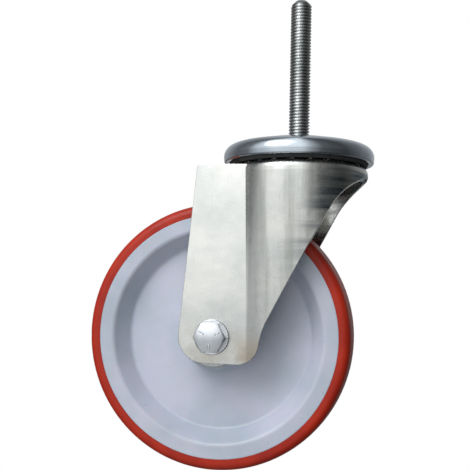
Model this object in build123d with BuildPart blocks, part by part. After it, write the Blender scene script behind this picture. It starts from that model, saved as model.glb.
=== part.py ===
from build123d import *

import os
from math import asin, cos, degrees, radians, sin

# Threaded-stem swivel castor: a pressed steel fork turns on a double ball race under a bolt-fixed head,
# and carries a 125 mm wheel on a roller bearing.
# Millimetres. The origin is on the swivel axis in the mounting face, +Z runs up the stem, the wheel
# trails towards -X, and the axle lies along Y.

os.makedirs("parts", exist_ok=True)

# Wheel, and where it sits under the head
wheel_r = 62.5
tyre_half = 16.0
axle_x = -35.0
axle_z = -92.5

# Sheet metal
cap_sheet = 3.0
fork_sheet = 2.5

# Swivel head
cap_r = 36.0
boss_r = 20.7
boss_step = 2.3
cap_depth = 10.8
crown_r = 33.0
crown_top = -12.4
crown_rise = 2.0
skirt_bottom = -17.5

# Ball race
upper_ball_r = 4.0
upper_track_r = 26.0
upper_balls_count = 20
upper_ball_z = -8.8
lower_ball_r = 3.0
lower_track_r = 15.0
lower_balls_count = 14
lower_ball_z = -15.45
ball_play = 0.05

# King pin, lower race and stem bolt
pin_r = 9.0
pin_bore_r = 5.25
rivet_r = 11.0
rivet_depth = 2.0
race_top = -17.9
race_bottom = -20.4
flange_bottom = -22.4
stem_washer_bottom = -24.6
stem_r = 5.0
stem_shank_r = 4.5
stem_tip = 69.4
stem_chamfer = 2.3
stem_head_flats = 16.0
stem_head_height = 6.4

# Fork legs: the cheeks are flat planes at this y, and each flank bows out behind a crease
leg_y = 25.0
leg_top = -14.0
leg_bottom = -104.4
leg_front = -60.0
cheek_front = -21.0
foot_crease_x = -19.3
foot_crease_angle = 10.0
foot_bow_r = 170.0
axle_hole_r = 4.2

# Axle
axle_r = 4.0
axle_head_flats = 13.0
axle_head_height = 5.3
axle_end_y = 36.5
washer_r = 8.0
washer_thickness = 1.6
nut_height = 6.5
nut_collar_top = 34.6
insert_r = 5.0
tube_r = 6.0
thrust_washer_inner_y = 21.2

# Bearing and hub
roller_r = 1.75
roller_count = 8
roller_half = 18.5
roller_play = 0.03
cage_half = 20.8
cage_wall = 1.45
slot_play = 0.15
hub_half = 20.9
hub_r = 15.0

# Wheel section, as half widths and radii
web_half = 8.0
web_outer_r = 43.4
rim_inner_r = 49.5
rim_seat_r = 56.1
anchor_half = 11.5
anchor_depth = 3.0
tread_edge_r = 61.0
shoulder_r = 3.5

leg_inner_y = leg_y - fork_sheet
roller_pitch_r = tube_r + roller_r + roller_play
hub_bore_r = roller_pitch_r + roller_r + roller_play
axle_axis = Axis((axle_x, 0, axle_z), (0, 1, 0))


def axle_plane(y):
    """Plane square to the axle at this y, local X to the right and local Y up."""
    return Plane(origin=(axle_x, y, axle_z), x_dir=(1, 0, 0), z_dir=(0, -1, 0))


# --- Head -------------------------------------------------------------------------------------------

# Pressed cap: raised boss in the middle, rolled rim outside, ball track on its underside.
with BuildPart() as head_plate:
    with BuildSketch(Plane.XZ):
        with BuildLine():
            FilletPolyline(
                (pin_r, -cap_sheet),
                (pin_r, -rivet_depth),
                (rivet_r, 0),
                (boss_r, 0),
                (boss_r + 4.1, -boss_step),
                (cap_r + 0.5, -boss_step),
                (cap_r - 0.4, -cap_depth),
                (cap_r - cap_sheet, -cap_depth),
                (cap_r - cap_sheet, -boss_step - cap_sheet),
                (boss_r + 2.6, -boss_step - cap_sheet),
                (boss_r - 1.5, -cap_sheet),
                radius=(0, 0, 0, 1.5, 2.5, 5.5, 0.8, 0.4, 2.6, 1.5, 2.0),
                close=True,
            )
        make_face()
        with Locations((upper_track_r, upper_ball_z)):
            Circle(upper_ball_r + ball_play, mode=Mode.SUBTRACT)
    revolve(axis=Axis.Z)
head_plate.part.label = "head_plate"
export_step(head_plate.part, "parts/head_plate.step")

# Hollow rivet: countersunk head in the boss, flange under the lower race, bore for the stem.
with BuildPart() as king_pin:
    with BuildSketch(Plane.XZ):
        with BuildLine():
            FilletPolyline(
                (pin_bore_r, 0),
                (rivet_r, 0),
                (pin_r, -rivet_depth),
                (pin_r, race_bottom),
                (pin_r + 4.5, race_bottom),
                (pin_r + 4.5, flange_bottom),
                (pin_bore_r, flange_bottom),
                radius=(0.4, 0, 0, 0, 0, 0.6, 0),
                close=True,
            )
        make_face()
    revolve(axis=Axis.Z)
king_pin.part.label = "king_pin"
export_step(king_pin.part, "parts/king_pin.step")

# Pressed cup with a turned-up rim that keeps the small balls in their track.
with BuildPart() as lower_race:
    with BuildSketch(Plane.XZ):
        with BuildLine():
            FilletPolyline(
                (pin_r, race_top),
                (lower_track_r + 4.4, race_top),
                (lower_track_r + 4.9, race_top + 1.7),
                (lower_track_r + 6.6, race_top + 1.7),
                (lower_track_r + 6.6, race_bottom),
                (pin_r, race_bottom),
                radius=(0, 0.6, 0.3, 0.5, 1.8, 0),
                close=True,
            )
        make_face()
        with Locations((lower_track_r, lower_ball_z)):
            Circle(lower_ball_r + ball_play, mode=Mode.SUBTRACT)
    revolve(axis=Axis.Z)
lower_race.part.label = "lower_race"
export_step(lower_race.part, "parts/lower_race.step")

# Rubber ring pressed inside the cap's rim, with a lip that reaches down to the fork crown.
with BuildPart() as dust_seal:
    with BuildSketch(Plane.XZ):
        with BuildLine():
            Polyline(
                (cap_r - cap_sheet, -cap_depth + 2.8),
                (cap_r - cap_sheet, -cap_depth),
                (cap_r - cap_sheet - 0.6, crown_top + 0.3),
                (cap_r - cap_sheet - 2.4, crown_top + 0.3),
                (cap_r - cap_sheet - 2.4, -cap_depth + 2.8),
                close=True,
            )
        make_face()
    revolve(axis=Axis.Z)
dust_seal.part.label = "dust_seal"
export_step(dust_seal.part, "parts/dust_seal.step")

# Split spring washer under the head of the stem bolt.
with BuildPart() as stem_washer:
    with BuildSketch(Plane.XY.offset(stem_washer_bottom)):
        Circle(stem_r + 4.0)
        Circle(stem_r + 0.2, mode=Mode.SUBTRACT)
        with Locations((stem_r + 2.0, 0)):
            Rectangle(5.0, 1.2, rotation=20, mode=Mode.SUBTRACT)
    extrude(amount=flange_bottom - stem_washer_bottom)
stem_washer.part.label = "stem_washer"
export_step(stem_washer.part, "parts/stem_washer.step")

# Stem: reduced-shank bolt put in from below, with its hexagon under the race. The thread starts at the
# mounting face and ends in a chamfered point.
with BuildPart() as stem_bolt:
    with BuildSketch(Plane.XY.offset(stem_washer_bottom)):
        RegularPolygon(stem_head_flats / 2, 6, major_radius=False)
    extrude(amount=-stem_head_height)
    with BuildSketch(Plane.XZ):
        with BuildLine():
            Polyline(
                (0, stem_washer_bottom),
                (stem_head_flats, stem_washer_bottom),
                (stem_head_flats, stem_washer_bottom - stem_head_height + 4.6),
                (stem_head_flats / 2, stem_washer_bottom - stem_head_height),
                (0, stem_washer_bottom - stem_head_height),
                close=True,
            )
        make_face()
    revolve(axis=Axis.Z, mode=Mode.INTERSECT)
    with BuildSketch(Plane.XY.offset(stem_washer_bottom)):
        Circle(stem_shank_r)
    extrude(amount=-stem_washer_bottom)
    with BuildSketch(Plane.XY):
        Circle(stem_r)
    extrude(amount=stem_tip)
    chamfer(stem_bolt.edges().sort_by(Axis.Z)[-1], stem_chamfer)
stem_bolt.part.label = "stem_bolt"
export_step(stem_bolt.part, "parts/stem_bolt.step")

# --- Race balls -------------------------------------------------------------------------------------

with BuildPart(Plane.XY.offset(upper_ball_z)) as upper_balls:
    with PolarLocations(upper_track_r, upper_balls_count):
        Sphere(upper_ball_r)
upper_balls.part.label = "upper_balls"
export_step(upper_balls.part, "parts/upper_balls.step")

with BuildPart(Plane.XY.offset(lower_ball_z)) as lower_balls:
    with PolarLocations(lower_track_r, lower_balls_count):
        Sphere(lower_ball_r)
lower_balls.part.label = "lower_balls"
export_step(lower_balls.part, "parts/lower_balls.step")

# --- Fork -------------------------------------------------------------------------------------------


def leg_section(height, centre, bow_r, end_angle):
    """Strip of sheet at one height: flat cheek from the front, then an arc about centre that bows out."""
    crease_angle = degrees(asin((leg_y + centre[1]) / bow_r)) - 180
    inner_crease_angle = degrees(asin((leg_inner_y + centre[1]) / (bow_r - fork_sheet))) - 180
    with BuildSketch(Plane.XY.offset(height)) as section:
        with BuildLine():
            outer_bow = CenterArc(centre, bow_r, crease_angle, end_angle - crease_angle)
            inner_bow = CenterArc(centre, bow_r - fork_sheet, inner_crease_angle, end_angle - inner_crease_angle)
            Line(outer_bow @ 1, inner_bow @ 1)
            Polyline(inner_bow @ 0, (leg_front, -leg_inner_y), (leg_front, -leg_y), outer_bow @ 0)
        make_face()
    return section.sketch


# One pressed sheet: a round crown with both ball tracks and a short skirt, and two legs, each a flat cheek
# that turns at a crease into a bowed flank. The flank is part of the crown's cylinder at the top and flattens
# towards the foot.
foot_bow_centre = (
    foot_crease_x + foot_bow_r * sin(radians(foot_crease_angle)),
    -leg_y + foot_bow_r * cos(radians(foot_crease_angle)),
)
leg_sections = [
    leg_section(skirt_bottom, (0, 0), crown_r, -10),
    leg_section(leg_bottom, foot_bow_centre, foot_bow_r, -82),
]

with BuildPart() as fork:
    loft(sections=leg_sections, ruled=True)
    with BuildSketch(Plane.XY.offset(skirt_bottom)):
        with Locations((leg_front, -leg_y)):
            Rectangle(cheek_front - leg_front, fork_sheet, align=(Align.MIN, Align.MIN))
    extrude(amount=leg_top - skirt_bottom)
    # Side outline of a leg: front edge, rounded foot round the axle, and a long arch up to the crown's skirt.
    with BuildSketch(Plane.XZ):
        with BuildLine():
            FilletPolyline(
                (axle_x - 8.9, leg_top),
                (axle_x - 16.8, leg_bottom),
                (axle_x + 19.4, leg_bottom),
                (axle_x + 22.8, axle_z + 4.5),
                (22.4, -23.4),
                (crown_r + 3.0, skirt_bottom + 1.4),
                (crown_r + 3.0, leg_top),
                radius=(1.0, 12.0, 10.0, 30.0, 40.0, 0, 0),
                close=True,
            )
        make_face()
        with Locations((axle_x, axle_z)):
            Circle(axle_hole_r, mode=Mode.SUBTRACT)
    extrude(amount=crown_r + 5, mode=Mode.INTERSECT)
    mirror(about=Plane.XZ)
    with BuildSketch(Plane.XZ):
        with BuildLine():
            FilletPolyline(
                (pin_r + 2.5, crown_top + crown_rise),
                (lower_track_r + 3.8, crown_top + crown_rise),
                (lower_track_r + 5.8, crown_top),
                (crown_r, crown_top),
                (crown_r, skirt_bottom),
                (crown_r - fork_sheet, skirt_bottom),
                (crown_r - fork_sheet, crown_top - fork_sheet),
                (lower_track_r + 6.0, crown_top - fork_sheet),
                (lower_track_r + 4.0, crown_top + crown_rise - fork_sheet),
                (pin_r + 2.5, crown_top + crown_rise - fork_sheet),
                radius=(0, 0.8, 0.8, 3.5, 0, 0, 1.0, 0.4, 0.4, 0),
                close=True,
            )
        make_face()
        with Locations((upper_track_r, upper_ball_z)):
            Circle(upper_ball_r + ball_play, mode=Mode.SUBTRACT)
        with Locations((lower_track_r, lower_ball_z)):
            Circle(lower_ball_r + ball_play, mode=Mode.SUBTRACT)
    revolve(axis=Axis.Z)
fork.part.label = "fork"
export_step(fork.part, "parts/fork.step")

# --- Axle -------------------------------------------------------------------------------------------

# Hexagon bolt through both legs: head on the near side with a chamfered face, round end past the nut.
head_face_y = -leg_y - washer_thickness - axle_head_height
with BuildPart() as axle_bolt:
    with BuildSketch(axle_plane(-leg_y - washer_thickness)):
        RegularPolygon(axle_head_flats / 2, 6, major_radius=False)
    extrude(amount=axle_head_height)
    with BuildSketch(axle_plane(head_face_y)):
        Circle(axle_head_flats / 2 - 0.2)
    extrude(amount=-axle_head_height, taper=-60, mode=Mode.INTERSECT)
    with BuildSketch(axle_plane(-leg_y - washer_thickness)):
        Circle(axle_r)
    extrude(amount=-(axle_end_y + leg_y + washer_thickness))
    chamfer(axle_bolt.edges().sort_by(Axis.Y)[-1], 1.0)
axle_bolt.part.label = "axle_bolt"
export_step(axle_bolt.part, "parts/axle_bolt.step")

# Plain washers outside the legs, and thrust washers inside them on the tube.
with BuildPart() as bolt_washer:
    with BuildSketch(axle_plane(-leg_y)):
        Circle(washer_r)
        Circle(axle_hole_r, mode=Mode.SUBTRACT)
    extrude(amount=washer_thickness)
    chamfer(bolt_washer.faces().sort_by(Axis.Y)[0].outer_wire().edges(), 0.3)
bolt_washer.part.label = "bolt_washer"
export_step(bolt_washer.part, "parts/bolt_washer.step")

with BuildPart() as nut_washer:
    with BuildSketch(axle_plane(leg_y)):
        Circle(washer_r)
        Circle(axle_hole_r, mode=Mode.SUBTRACT)
    extrude(amount=-washer_thickness)
    chamfer(nut_washer.faces().sort_by(Axis.Y)[-1].outer_wire().edges(), 0.3)
nut_washer.part.label = "nut_washer"
export_step(nut_washer.part, "parts/nut_washer.step")

for side, name in ((-1, "thrust_washer_near"), (1, "thrust_washer_far")):
    with BuildPart() as thrust_washer:
        with BuildSketch(axle_plane(side * leg_inner_y)):
            Circle(hub_r - 1.5)
            Circle(tube_r + 0.05, mode=Mode.SUBTRACT)
        extrude(amount=side * (leg_inner_y - thrust_washer_inner_y))
    thrust_washer.part.label = name
    export_step(thrust_washer.part, f"parts/{name}.step")

# Lock nut: hexagon with a round collar that is crimped over a nylon ring.
nut_base_y = leg_y + washer_thickness
insert_bottom_y = nut_base_y + 5.0
insert_top_y = nut_collar_top - 0.5
with BuildPart() as axle_nut:
    with BuildSketch(axle_plane(nut_base_y)):
        RegularPolygon(axle_head_flats / 2, 6, major_radius=False)
    extrude(amount=-nut_height)
    with BuildSketch(axle_plane(nut_base_y + nut_height)):
        Circle(axle_head_flats / 2 - 0.2)
    extrude(amount=nut_height, taper=-60, mode=Mode.INTERSECT)
    with BuildSketch(axle_plane(nut_base_y + nut_height)):
        Circle(insert_r + 0.7)
    extrude(amount=-(nut_collar_top - nut_base_y - nut_height))
    fillet(axle_nut.faces().sort_by(Axis.Y)[-1].edges(), 0.4)
    with BuildSketch(axle_plane(nut_base_y)):
        Circle(axle_r)
    extrude(amount=nut_base_y - nut_collar_top, mode=Mode.SUBTRACT)
    with BuildSketch(axle_plane(insert_bottom_y)):
        Circle(insert_r)
    extrude(amount=insert_bottom_y - insert_top_y, mode=Mode.SUBTRACT)
axle_nut.part.label = "axle_nut"
export_step(axle_nut.part, "parts/axle_nut.step")

with BuildPart() as nut_insert:
    with BuildSketch(axle_plane(insert_bottom_y)):
        Circle(insert_r)
        Circle(axle_r, mode=Mode.SUBTRACT)
    extrude(amount=insert_bottom_y - insert_top_y)
nut_insert.part.label = "nut_insert"
export_step(nut_insert.part, "parts/nut_insert.step")

# Steel sleeve clamped between the legs by the bolt. The rollers run on it.
with BuildPart() as axle_tube:
    with BuildSketch(axle_plane(-leg_inner_y)):
        Circle(tube_r)
        Circle(axle_r + 0.1, mode=Mode.SUBTRACT)
    extrude(amount=-2 * leg_inner_y)
axle_tube.part.label = "axle_tube"
export_step(axle_tube.part, "parts/axle_tube.step")

# --- Bearing ----------------------------------------------------------------------------------------

with BuildPart() as rollers:
    with BuildSketch(axle_plane(-roller_half)):
        with PolarLocations(roller_pitch_r, roller_count):
            Circle(roller_r)
    extrude(amount=-2 * roller_half)
rollers.part.label = "rollers"
export_step(rollers.part, "parts/rollers.step")

# Sleeve with one slot for each roller.
with BuildPart() as roller_cage:
    with BuildSketch(axle_plane(-cage_half)):
        Circle(roller_pitch_r + cage_wall / 2)
        Circle(roller_pitch_r - cage_wall / 2, mode=Mode.SUBTRACT)
    extrude(amount=-2 * cage_half)
    with BuildSketch(axle_plane(-roller_half - slot_play)):
        with PolarLocations(roller_pitch_r, roller_count):
            Rectangle(2 * cage_wall, 2 * (roller_r + slot_play))
    extrude(amount=-2 * (roller_half + slot_play), mode=Mode.SUBTRACT)
roller_cage.part.label = "roller_cage"
export_step(roller_cage.part, "parts/roller_cage.step")

# --- Wheel ------------------------------------------------------------------------------------------

wheel_section = Plane(origin=(axle_x, 0, axle_z), x_dir=(0, 1, 0), z_dir=(1, 0, 0))

# Moulded centre: long hub, flat web dished in from both sides, and a broad rim with a groove that
# anchors the tyre.
centre_half = [
    ((hub_half, hub_bore_r), 0.4),
    ((hub_half, hub_r), 1.0),
    ((web_half, hub_r + 1.5), 2.5),
    ((web_half, web_outer_r), 2.0),
    ((tyre_half, rim_inner_r), 2.5),
    ((tyre_half, rim_seat_r), 0),
    ((anchor_half + 1.5, rim_seat_r), 0),
    ((anchor_half, rim_seat_r - anchor_depth), 0),
]
centre_points = [point for point, _ in centre_half]
centre_radii = [radius for _, radius in centre_half]
with BuildPart() as wheel_centre:
    with BuildSketch(wheel_section):
        with BuildLine():
            FilletPolyline(
                *centre_points,
                *[(-y, r) for y, r in reversed(centre_points)],
                radius=centre_radii + centre_radii[::-1],
                close=True,
            )
        make_face()
    revolve(axis=axle_axis)
wheel_centre.part.label = "wheel_centre"
export_step(wheel_centre.part, "parts/wheel_centre.step")

# Tread cast onto the rim: slightly crowned, with rounded shoulders.
with BuildPart() as tyre:
    with BuildSketch(wheel_section) as tyre_section:
        with BuildLine():
            Polyline(
                (-tyre_half, tread_edge_r),
                (-tyre_half, rim_seat_r),
                (-anchor_half - 1.5, rim_seat_r),
                (-anchor_half, rim_seat_r - anchor_depth),
                (anchor_half, rim_seat_r - anchor_depth),
                (anchor_half + 1.5, rim_seat_r),
                (tyre_half, rim_seat_r),
                (tyre_half, tread_edge_r),
            )
            ThreePointArc((-tyre_half, tread_edge_r), (0, wheel_r), (tyre_half, tread_edge_r))
        make_face()
        fillet(tyre_section.vertices().group_by(Axis.Y)[-1], shoulder_r)
    revolve(axis=axle_axis)
tyre.part.label = "tyre"
export_step(tyre.part, "parts/tyre.step")
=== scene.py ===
import bpy
import numpy as np
from mathutils import Matrix, Vector


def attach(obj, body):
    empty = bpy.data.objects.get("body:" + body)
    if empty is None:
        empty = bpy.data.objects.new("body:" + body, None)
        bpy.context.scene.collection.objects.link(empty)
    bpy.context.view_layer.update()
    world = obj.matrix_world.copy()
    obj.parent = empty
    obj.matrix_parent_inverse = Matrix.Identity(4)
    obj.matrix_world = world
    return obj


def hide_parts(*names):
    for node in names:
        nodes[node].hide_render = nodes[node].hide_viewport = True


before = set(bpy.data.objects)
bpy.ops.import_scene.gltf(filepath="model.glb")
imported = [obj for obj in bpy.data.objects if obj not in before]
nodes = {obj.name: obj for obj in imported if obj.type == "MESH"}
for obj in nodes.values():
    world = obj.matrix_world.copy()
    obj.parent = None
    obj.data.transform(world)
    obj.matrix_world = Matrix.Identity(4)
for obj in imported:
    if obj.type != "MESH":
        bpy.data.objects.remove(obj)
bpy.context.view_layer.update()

# Viewpoint: a little below the swivel head and to the right of square on, tilted up a few
# degrees, with a long enough lens that the near and the far leg almost cover each other.
camera_data = bpy.data.cameras.new("camera")
camera_data.lens = 58.4
camera_data.sensor_width = 36.0
camera_data.clip_start = 0.01
camera = bpy.data.objects.new("camera", camera_data)
bpy.context.scene.collection.objects.link(camera)
bpy.context.scene.camera = camera
camera_turn, camera_tilt, camera_roll = np.radians([10.315, 3.625, 1.38])
forward = Vector((-np.sin(camera_turn) * np.cos(camera_tilt),
                  np.cos(camera_turn) * np.cos(camera_tilt),
                  np.sin(camera_tilt)))
level_right = Vector((np.cos(camera_turn), np.sin(camera_turn), 0))
level_up = level_right.cross(forward)
right = np.cos(camera_roll) * level_right + np.sin(camera_roll) * level_up
up = -np.sin(camera_roll) * level_right + np.cos(camera_roll) * level_up
camera_place = Vector((0.03587, -0.36292, -0.06814))
camera_axes = Matrix((right, up, -forward)).transposed().to_4x4()
camera.matrix_world = Matrix.Translation(camera_place) @ camera_axes


# Light: a large soft window in front and to the left, dimmer below the horizon, with the dark
# side of a room to the right. The backdrop behind the object is plain white.
def grow(tree, kind, inputs=(), **settings):
    """A new shader node. Settings are its properties, and inputs maps a socket to a constant or
    to the output that feeds it. The result is the node's main output."""
    made = tree.nodes.new(kind)
    for key, value in settings.items():
        setattr(made, key, value)
    for key, value in dict(inputs).items():
        if isinstance(value, bpy.types.NodeSocket):
            tree.links.new(value, made.inputs[key])
        else:
            made.inputs[key].default_value = value
    return made.outputs[2] if kind == "ShaderNodeMix" else made.outputs[0]


def ramp(tree, factor, stops):
    """A colour ramp over the factor, with (place, grey or colour) stops in rising order."""
    made = tree.nodes.new("ShaderNodeValToRGB")
    tree.links.new(factor, made.inputs[0])
    for number, (place, tone) in enumerate(stops):
        colour = tone if isinstance(tone, tuple) else (tone, tone, tone)
        elements = made.color_ramp.elements
        element = elements[number] if number < len(elements) else elements.new(place)
        element.position = place
        element.color = (*colour, 1.0)
    return made.outputs[0]


def blend(tree, factor, low, high, mode="MIX"):
    """Colour mix from low to high as the factor goes from 0 to 1, or their product where the
    mode is MULTIPLY."""
    sides = {key: value if isinstance(value, bpy.types.NodeSocket) else (*value, 1.0)
             for key, value in ((6, low), (7, high))}
    return grow(tree, "ShaderNodeMix", {0: factor, **sides}, data_type="RGBA", blend_type=mode)


def calculate(tree, operation, *numbers):
    """One arithmetic step on two or three numbers."""
    return grow(tree, "ShaderNodeMath", dict(enumerate(numbers)), operation=operation)


def product(tree, first, *others):
    """The product of masks and plain numbers."""
    for other in others:
        first = calculate(tree, "MULTIPLY", first, other)
    return first


world = bpy.data.worlds.new("room")
world.use_nodes = True
sky = world.node_tree
sky.nodes.clear()
split = sky.nodes.new("ShaderNodeSeparateXYZ")
sky.links.new(grow(sky, "ShaderNodeTexCoord"), split.inputs[0])
azimuth = calculate(sky, "ARCTAN2", split.outputs[0], product(sky, split.outputs[1], -1.0))
around = calculate(sky, "MULTIPLY_ADD", azimuth, 0.5 / np.pi, 0.5)
wall_light = ramp(sky, around, [
    (0.0, 0.55), (0.12, 0.35), (0.22, 0.13), (0.29, 0.22), (0.34, 0.92), (0.42, 1.15),
    (0.53, 1.05), (0.565, 0.5), (0.61, 0.13), (0.72, 0.06), (0.85, 0.22), (1.0, 0.55)])
height = calculate(sky, "MULTIPLY_ADD", split.outputs[2], 0.5, 0.5)
height_light = ramp(sky, height, [(0.0, 0.42), (0.44, 0.55), (0.52, 0.95), (0.6, 1.15), (1.0, 1.1)])
room_colour = blend(sky, 1.0, wall_light, height_light, "MULTIPLY")
room_colour = blend(sky, 1.0, room_colour, (0.97, 0.99, 1.0), "MULTIPLY")
room_light = grow(sky, "ShaderNodeBackground", {"Color": room_colour, "Strength": 1.0})
backdrop = grow(sky, "ShaderNodeBackground", {"Color": (1.0, 1.0, 1.0, 1.0), "Strength": 1.0})
camera_ray = grow(sky, "ShaderNodeLightPath")
seen = grow(sky, "ShaderNodeMixShader", {0: camera_ray, 1: room_light, 2: backdrop})
sky.links.new(seen, sky.nodes.new("ShaderNodeOutputWorld").inputs[0])
bpy.context.scene.world = world
bpy.context.scene.view_settings.view_transform = "Standard"

key_data = bpy.data.lights.new("window", "AREA")
key_data.size = 0.5
key_data.energy = 4.0
key = bpy.data.objects.new("window", key_data)
bpy.context.scene.collection.objects.link(key)
key_place = Vector((-0.35, -0.65, 0.55))
key_aim = Vector((-0.01, 0.0, -0.05))
key_axes = (key_place - key_aim).to_track_quat("Z", "Y").to_matrix().to_4x4()
key.matrix_world = Matrix.Translation(key_place) @ key_axes


# Fork: one zinc-plated steel pressing, with two legs folded down from the crown. The plate has
# a faint yellow cast, fine scratches and some grease at the feet, with dark reflections and shade
# painted on.
def finish(name, light, dark, patch, roughness, metallic=1.0, bevel=0.0):
    """A principled material whose colour drifts from light to dark in patches of the given size
    in mm. Fine grain varies its roughness, and shading rounds its edges by the bevel in mm. The
    result is (material, tree, shader, object coordinates, colour, normal)."""
    made = bpy.data.materials.new(name)
    made.use_nodes = True
    tree = made.node_tree
    shader = tree.nodes["Principled BSDF"]
    place = tree.nodes.new("ShaderNodeTexCoord").outputs["Object"]
    cloud = grow(tree, "ShaderNodeTexNoise", {"Vector": place, "Scale": 1000.0 / patch, "Detail": 5.0})
    colour = blend(tree, ramp(tree, cloud, [(0.35, 0.0), (0.68, 1.0)]), light, dark)
    grain = grow(tree, "ShaderNodeTexNoise", {"Vector": place, "Scale": 900.0, "Detail": 3.0})
    low, high = roughness
    spread = grow(tree, "ShaderNodeMapRange", {"Value": grain, 1: 0.3, 2: 0.7, 3: low, 4: high})
    tree.links.new(spread, shader.inputs["Roughness"])
    shader.inputs["Metallic"].default_value = metallic
    tree.links.new(colour, shader.inputs["Base Color"])
    soft_edge = grow(tree, "ShaderNodeBevel", {"Radius": bevel / 1000.0}, samples=6)
    normal = grow(tree, "ShaderNodeBump", {"Height": grain, "Strength": 0.04, "Distance": 0.0002,
                                           "Normal": soft_edge})
    tree.links.new(normal, shader.inputs["Normal"])
    return made, tree, shader, place, colour, normal


def streaks(tree, place, stretch, edges):
    """Noise with its own scale along each axis, as a mask that rises between the two edges."""
    scaled = grow(tree, "ShaderNodeMapping", {"Vector": place, "Scale": stretch})
    lines = grow(tree, "ShaderNodeTexNoise", {"Vector": scaled, "Scale": 1.0, "Detail": 4.0})
    return ramp(tree, lines, [(edges[0], 0.0), (edges[1], 1.0)])


def along(tree, place, axis, start, end):
    """A mask that goes smoothly from 0 at the start to 1 at the end, in mm along one axis."""
    parts = tree.nodes.new("ShaderNodeSeparateXYZ")
    tree.links.new(place, parts.inputs[0])
    return grow(tree, "ShaderNodeMapRange",
                {0: parts.outputs[axis], 1: start / 1000.0, 2: end / 1000.0},
                interpolation_type="SMOOTHSTEP")


def number_from(tree, operation, vector, other=(0.0, 0.0, 0.0)):
    """One number from a vector: its length, or its dot product with the other."""
    made = grow(tree, "ShaderNodeVectorMath", {0: vector, 1: other}, operation=operation)
    return made.node.outputs["Value"]


def dress(name, material):
    """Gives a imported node's mesh this material in each of its slots."""
    slots = nodes[name].data.materials
    for number in range(len(slots)):
        slots[number] = material


axis_x, axis_z = 0, 2
fork_zinc, tree, shader, place, colour, normal = finish(
    "fork zinc", (0.84, 0.84, 0.80), (0.66, 0.68, 0.66), 17.0, (0.17, 0.30), bevel=0.5)

# Painted dark bluish reflection streaks lie along the slanting free edge of each leg, and fade out
# towards its foot.
free_edge_normal = (0.88, 0.0, -0.47)
slant = number_from(tree, "DOT_PRODUCT", place, free_edge_normal)
near_edge = grow(tree, "ShaderNodeMapRange", {0: slant, 1: 0.016, 2: 0.031},
                 interpolation_type="SMOOTHSTEP")
upper_leg = along(tree, place, axis_z, -70.0, -34.0)
painted_reflection_streaks = streaks(tree, place, (16.0, 16.0, 260.0), (0.40, 0.60))
colour = blend(tree, product(tree, near_edge, upper_leg, painted_reflection_streaks), colour, (0.10, 0.14, 0.17))

# Painted upright dark reflection streaks on the bulged flank, and a painted shade band beside its
# crease.
flank = along(tree, place, axis_x, -20.5, -17.0)
painted_flank_reflections = streaks(tree, place, (150.0, 150.0, 11.0), (0.46, 0.64))
colour = blend(tree, product(tree, flank, painted_flank_reflections, 0.55), colour, (0.36, 0.37, 0.33))
crease_start = along(tree, place, axis_x, -20.2, -18.6)
crease_end = along(tree, place, axis_x, -9.0, -17.0)
colour = blend(tree, product(tree, crease_start, crease_end, 0.55), colour, (0.30, 0.31, 0.31))

# Grease at the feet, fine scratches all over, and shallow dents.
foot = along(tree, place, axis_z, -84.0, -103.0)
smears = streaks(tree, place, (90.0, 90.0, 70.0), (0.4, 0.7))
colour = blend(tree, product(tree, foot, smears, 0.6), colour, (0.40, 0.31, 0.20))
scratches = streaks(tree, place, (1400.0, 1400.0, 40.0), (0.62, 0.72))
colour = blend(tree, product(tree, scratches, 0.35), colour, (0.50, 0.50, 0.50))
dents = grow(tree, "ShaderNodeTexNoise", {"Vector": place, "Scale": 55.0, "Detail": 2.0})
dented = grow(tree, "ShaderNodeBump", {"Height": dents, "Strength": 0.12, "Distance": 0.002,
                                       "Normal": normal})
tree.links.new(colour, shader.inputs["Base Color"])
tree.links.new(dented, shader.inputs["Normal"])
dress("fork", fork_zinc)


# Swivel head: a deep-drawn cap of zinc-plated steel, under which the fork's crown turns. It was
# polished in the press tool, so very fine rings run round it.
def axis_distance(tree, place, centre, keep):
    """Distance in metres from an axis: the length of the place less the centre, after the part
    along the axis is dropped by multiplying with the axes to keep."""
    moved = grow(tree, "ShaderNodeVectorMath", {0: place, 1: centre}, operation="SUBTRACT")
    across = grow(tree, "ShaderNodeVectorMath", {0: moved, 1: keep}, operation="MULTIPLY")
    return number_from(tree, "LENGTH", across)


swivel_centre, across_swivel = (0.0, 0.0, 0.0), (1.0, 1.0, 0.0)
head_zinc, tree, shader, place, colour, normal = finish(
    "head zinc", (0.62, 0.68, 0.74), (0.45, 0.51, 0.58), 16.0, (0.10, 0.20), bevel=0.6)
rings = grow(tree, "ShaderNodeCombineXYZ", {
    0: axis_distance(tree, place, swivel_centre, across_swivel),
    1: number_from(tree, "DOT_PRODUCT", place, (0.0, 0.0, 1.0))})
turning = grow(tree, "ShaderNodeTexNoise", {"Vector": rings, "Scale": 2600.0, "Detail": 2.0})
turned = grow(tree, "ShaderNodeBump", {"Height": turning, "Strength": 0.10, "Distance": 0.0003,
                                       "Normal": normal})
tree.links.new(turned, shader.inputs["Normal"])
tool_marks = streaks(tree, place, (25.0, 25.0, 500.0), (0.5, 0.7))
colour = blend(tree, product(tree, tool_marks, 0.3), colour, (0.45, 0.50, 0.54))
tree.links.new(colour, shader.inputs["Base Color"])
dress("head_plate", head_zinc)


# King pin and races: riveted steel parts inside the head, with a film of grease. They are seen
# only through the gap under the cap and between the legs.
greased = finish(
    "greased steel", (0.52, 0.54, 0.55), (0.36, 0.35, 0.32), 9.0, (0.22, 0.42), bevel=0.3)[0]
for name in ("king_pin", "lower_race"):
    dress(name, greased)


# Dust seal: a matt black rubber ring pressed under the cap's edge, in the gap over the crown.
# A little dust makes it greyer in patches.
seal_rubber = finish(
    "seal rubber", (0.028, 0.029, 0.031), (0.055, 0.055, 0.055), 6.0, (0.62, 0.8), 0.0)[0]
dress("dust_seal", seal_rubber)


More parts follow.
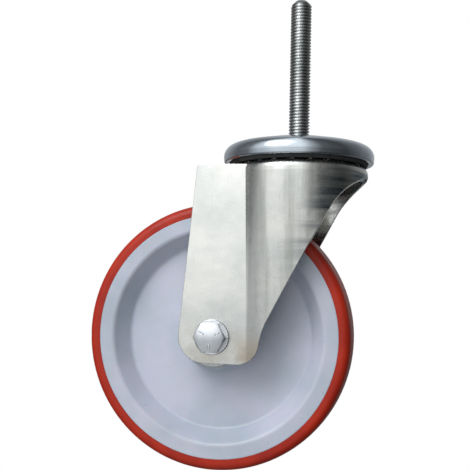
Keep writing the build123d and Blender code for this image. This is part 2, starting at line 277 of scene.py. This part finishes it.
# Balls: ground and polished bearing steel, in one ring over the crown and a smaller one under
# it. They show only as glints in the gaps of the head.
ball_steel = finish(
    "ball steel", (0.76, 0.77, 0.79), (0.66, 0.67, 0.68), 5.0, (0.06, 0.14))[0]
for name in ("upper_balls", "lower_balls"):
    dress(name, ball_steel)


# Stem: a zinc-plated hexagon bolt put in from below. Its rolled thread starts at the mounting
# face and ends in a chamfered point, and its shank inside the head is reduced.
columns = 72
chamfer_width = 0.5
angles = np.arange(columns) * 2 * np.pi / columns


def turned_rings(stations):
    """Quads between rings round Z. Each station is (radius, z), and either may be an array with
    one number for each column."""
    points = np.zeros((len(stations), columns, 3))
    for number, (radius, level) in enumerate(stations):
        points[number] = np.stack([radius * np.cos(angles), radius * np.sin(angles),
                                   level + 0 * angles], axis=1)
    at = np.arange(len(stations) * columns).reshape(len(stations), columns)
    beside = np.roll(at, -1, axis=1)
    faces = np.stack([at[:-1], beside[:-1], beside[1:], at[1:]], axis=-1).reshape(-1, 4)
    return points.reshape(-1, 3), faces


def hexagon_head(flats, bottom, top):
    """Stations of a hexagon head, from its outer face at the bottom to its bearing face at the
    top. A side's radius is half the flats over the cosine of the angle from its middle. The
    outer face is flat inside a circle, and beyond it rises by the extra radius times the
    tangent of 30 degrees."""
    from_middle = np.mod(angles, np.pi / 3) - np.pi / 6
    edge = flats / 2 / np.cos(from_middle)
    circle = flats / 2 - chamfer_width
    return [(0.0, bottom), (circle, bottom), (edge, bottom + (edge - circle) * np.tan(np.pi / 6)),
            (edge, top), (0.0, top)]


def screw_thread(start, end, crest, root, pitch, point):
    """Quads of a right-hand thread round Z. The height of a station is its phase times the
    pitch plus the column's share of a turn. The radius rises over 3/8 of the pitch from a root
    to a crest and falls over the last 3/8, and it stays inside a 45 degree cone at the end."""
    turns = int(np.ceil((end - start) / pitch)) + 2
    phase = np.array([0.0, 0.06, 0.12, 0.2, 0.35, 0.5, 0.56, 0.625, 0.75, 0.875])
    profile = np.interp(phase, [0.0, 0.125, 0.5, 0.625, 1.0], [root, root, crest, crest, root])
    level = (np.arange(turns)[:, None] + phase).ravel() * pitch + start - pitch
    rising = level[:, None] + angles / (2 * np.pi) * pitch
    z = np.clip(rising, start, end)
    r = np.minimum(np.tile(profile, turns)[:, None], crest - point + (end - z))
    r = np.where(z <= start, root, r)
    points = np.stack([r * np.cos(angles), r * np.sin(angles), z], axis=-1).reshape(-1, 3)
    at = np.arange(len(level) * columns).reshape(len(level), columns)
    beside = np.roll(at, -1, axis=1)
    # Past the last column the helix goes on one turn higher, so a station meets the one that
    # lies a whole pitch above it.
    beside[:, -1] = np.append(at[len(phase):, 0], np.full(len(phase), at[-1, 0]))
    faces = np.stack([at[:-1], beside[:-1], beside[1:], at[1:]], axis=-1).reshape(-1, 4)
    return points, faces


def hexagon_bolt(flats, head_bottom, head_top, shank, start, tip, crest, root, pitch, point):
    """Groups of a hexagon bolt along Z: its head, the shank from its stations, the thread from
    its start to the tip, and the flat inside the cone at the tip."""
    return [turned_rings(hexagon_head(flats, head_bottom, head_top)), turned_rings(shank),
            screw_thread(start, tip, crest, root, pitch, point),
            turned_rings([(crest - point, tip), (0.0, tip)])]


def metal_piece(name, groups, turn, centre, material):
    """One mesh object from groups of (points, faces) in mm. Points that meet are merged, faces
    that have no area are dropped, and the whole is turned and moved to its centre. Edges of
    more than 35 degrees are sharp."""
    offsets = np.cumsum([0] + [len(points) for points, _ in groups])
    points = np.concatenate([points for points, _ in groups])
    faces = np.concatenate([faces + offset for (_, faces), offset in zip(groups, offsets)])
    _, first, back = np.unique(np.round(points, 4), axis=0, return_index=True, return_inverse=True)
    points, faces = points[first], back.ravel()[faces]
    rings = [list(dict.fromkeys(face)) for face in faces.tolist()]
    rings = [ring for ring in rings if len(ring) > 2]
    where = points @ np.array(turn, float).T + np.array(centre)
    mesh = bpy.data.meshes.new(name)
    mesh.from_pydata((where / 1000).tolist(), [], rings)
    mesh.validate()
    mesh.shade_smooth()
    mesh.set_sharp_from_angle(angle=np.radians(35))
    mesh.materials.append(material)
    piece = bpy.data.objects.new(name, mesh)
    bpy.context.scene.collection.objects.link(piece)
    return piece


stem_crest, stem_root, stem_pitch = 5.0, 4.19, 1.5
stem_tip, stem_point = 69.4, 2.3
shank_r, shank_end = 4.5, -0.5
stem_head_top, stem_head_bottom = -24.6, -31.0

stem_zinc, tree, shader, place, colour, normal = finish(
    "stem zinc", (0.70, 0.71, 0.71), (0.52, 0.54, 0.54), 7.0, (0.22, 0.36), bevel=0.12)
# Painted shade darkens the thread roots above the mounting face.
reach = axis_distance(tree, place, swivel_centre, across_swivel)
thread_root_shade = grow(tree, "ShaderNodeMapRange", {0: reach, 1: 0.00475, 2: 0.00420})
above_face = along(tree, place, axis_z, -1.0, 0.5)
colour = blend(tree, product(tree, thread_root_shade, above_face, 0.75), colour, (0.13, 0.135, 0.13))
tree.links.new(colour, shader.inputs["Base Color"])

stem_shank = [(shank_r, stem_head_top), (shank_r, shank_end),
              (stem_root, shank_end), (stem_root, 0.0)]
stem = metal_piece("threaded_stem", hexagon_bolt(
    16.0, stem_head_bottom, stem_head_top, stem_shank,
    0.0, stem_tip, stem_crest, stem_root, stem_pitch, stem_point,
), np.eye(3), (0.0, 0.0, 0.0), stem_zinc)
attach(stem, "head")
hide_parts("stem_bolt")
dress("stem_washer", stem_zinc)


# Axle fasteners: a bright zinc hexagon bolt through both legs, with plain washers and a locking
# nut. Three raised grade marks stand on the bolt's head.
axle_centre = (-35.0, 0.0, -92.5)
bolt_crest, bolt_root, bolt_pitch = 4.0, 3.35, 1.25
bolt_end, bolt_point, thread_start = 36.5, 1.0, 25.0
bolt_head_top, bolt_head_bottom = -26.6, -31.9
mark_foot = (-31.85, 0.35, 2.9, 5.5)
mark_top = (-32.05, 0.22, 3.05, 5.35)

bright_zinc, tree, shader, place, colour, normal = finish(
    "fastener zinc", (0.80, 0.82, 0.85), (0.66, 0.69, 0.73), 6.0, (0.2, 0.32), bevel=0.25)
rub = streaks(tree, place, (500.0, 500.0, 90.0), (0.55, 0.7))
colour = blend(tree, product(tree, rub, 0.4), colour, (0.48, 0.50, 0.53))
tree.links.new(colour, shader.inputs["Base Color"])
for name in ("bolt_washer", "nut_washer", "axle_nut"):
    dress(name, bright_zinc)


def grade_mark(degrees):
    """A raised bar that runs outward at this angle on the bolt's head. Its foot and its top are
    rectangles given by height, half width, and inner and outer reach."""
    cosine, sine = np.cos(np.radians(degrees)), np.sin(np.radians(degrees))
    corners = [(cosine * reach - sine * side, sine * reach + cosine * side, level)
               for level, half, inner, outer in (mark_foot, mark_top)
               for reach, side in ((inner, -half), (outer, -half), (outer, half), (inner, half))]
    sides = [[0, 1, 5, 4], [1, 2, 6, 5], [2, 3, 7, 6], [3, 0, 4, 7], [4, 5, 6, 7]]
    return np.array(corners), np.array(sides)


# The bolt's local Z is turned onto the axle, which runs along Y.
onto_axle = [[1, 0, 0], [0, 0, 1], [0, -1, 0]]
shank_shoulder = 24.0
bolt_shank = [(bolt_crest, bolt_head_top), (bolt_crest, shank_shoulder),
              (bolt_root, shank_shoulder + 0.2), (bolt_root, thread_start)]
axle_bolt = metal_piece("axle_hex_bolt", hexagon_bolt(
    13.0, bolt_head_bottom, bolt_head_top, bolt_shank,
    thread_start, bolt_end, bolt_crest, bolt_root, bolt_pitch, bolt_point,
) + [grade_mark(degrees) for degrees in (210, 330, 90)], onto_axle, axle_centre, bright_zinc)
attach(axle_bolt, "swivel_fork")
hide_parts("axle_bolt")


# Bearing parts inside the hub: a steel axle tube with hardened thrust washers, rollers in a
# nylon cage, and the nut's nylon insert.
def scatter(shader, weight, depth):
    """Lets light into a plastic: the share that scatters, and how deep in mm."""
    shader.inputs["Subsurface Weight"].default_value = weight
    shader.inputs["Subsurface Scale"].default_value = depth / 1000.0


nylon, tree, shader, place, colour, normal = finish(
    "natural nylon", (0.80, 0.79, 0.72), (0.72, 0.70, 0.62), 8.0, (0.38, 0.5), 0.0, bevel=0.2)
scatter(shader, 0.15, 3.0)
for name in ("nut_insert", "roller_cage"):
    dress(name, nylon)
dress("rollers", ball_steel)
for name in ("axle_tube", "thrust_washer_near", "thrust_washer_far"):
    dress(name, greased)


# Wheel centre: one moulding of translucent bluish-white polyamide, with a thick web between the
# hub and the rim. Faint flow clouds and a few dark specks show in it.
polyamide, tree, shader, place, colour, normal = finish(
    "white polyamide", (0.60, 0.62, 0.73), (0.46, 0.52, 0.60), 26.0, (0.3, 0.42), 0.0, bevel=0.6)
specks = grow(tree, "ShaderNodeTexNoise", {"Vector": place, "Scale": 520.0, "Detail": 2.0})
speck_mask = ramp(tree, specks, [(0.70, 0.0), (0.76, 1.0)])
colour = blend(tree, product(tree, speck_mask, 0.35), colour, (0.25, 0.25, 0.30))
tree.links.new(colour, shader.inputs["Base Color"])
scatter(shader, 0.2, 6.0)
dress("wheel_centre", polyamide)


# Tyre: cast polyurethane bonded to the rim, red-orange and semi-gloss. Its tread is scuffed a
# little paler in patches.
urethane, tree, shader, place, colour, normal = finish(
    "red polyurethane", (0.50, 0.028, 0.008), (0.36, 0.018, 0.008), 18.0, (0.34, 0.48), 0.0, bevel=0.4)
shader.inputs["Specular IOR Level"].default_value = 0.3
axle_point = tuple(mm / 1000 for mm in axle_centre)
reach = axis_distance(tree, place, axle_point, (1.0, 0.0, 1.0))
on_tread = grow(tree, "ShaderNodeMapRange", {0: reach, 1: 0.0600, 2: 0.0615})
worn = streaks(tree, place, (60.0, 60.0, 60.0), (0.45, 0.7))
colour = blend(tree, product(tree, on_tread, worn, 0.35), colour, (0.34, 0.12, 0.08))
tree.links.new(colour, shader.inputs["Base Color"])
scatter(shader, 0.08, 3.0)
dress("tyre", urethane)
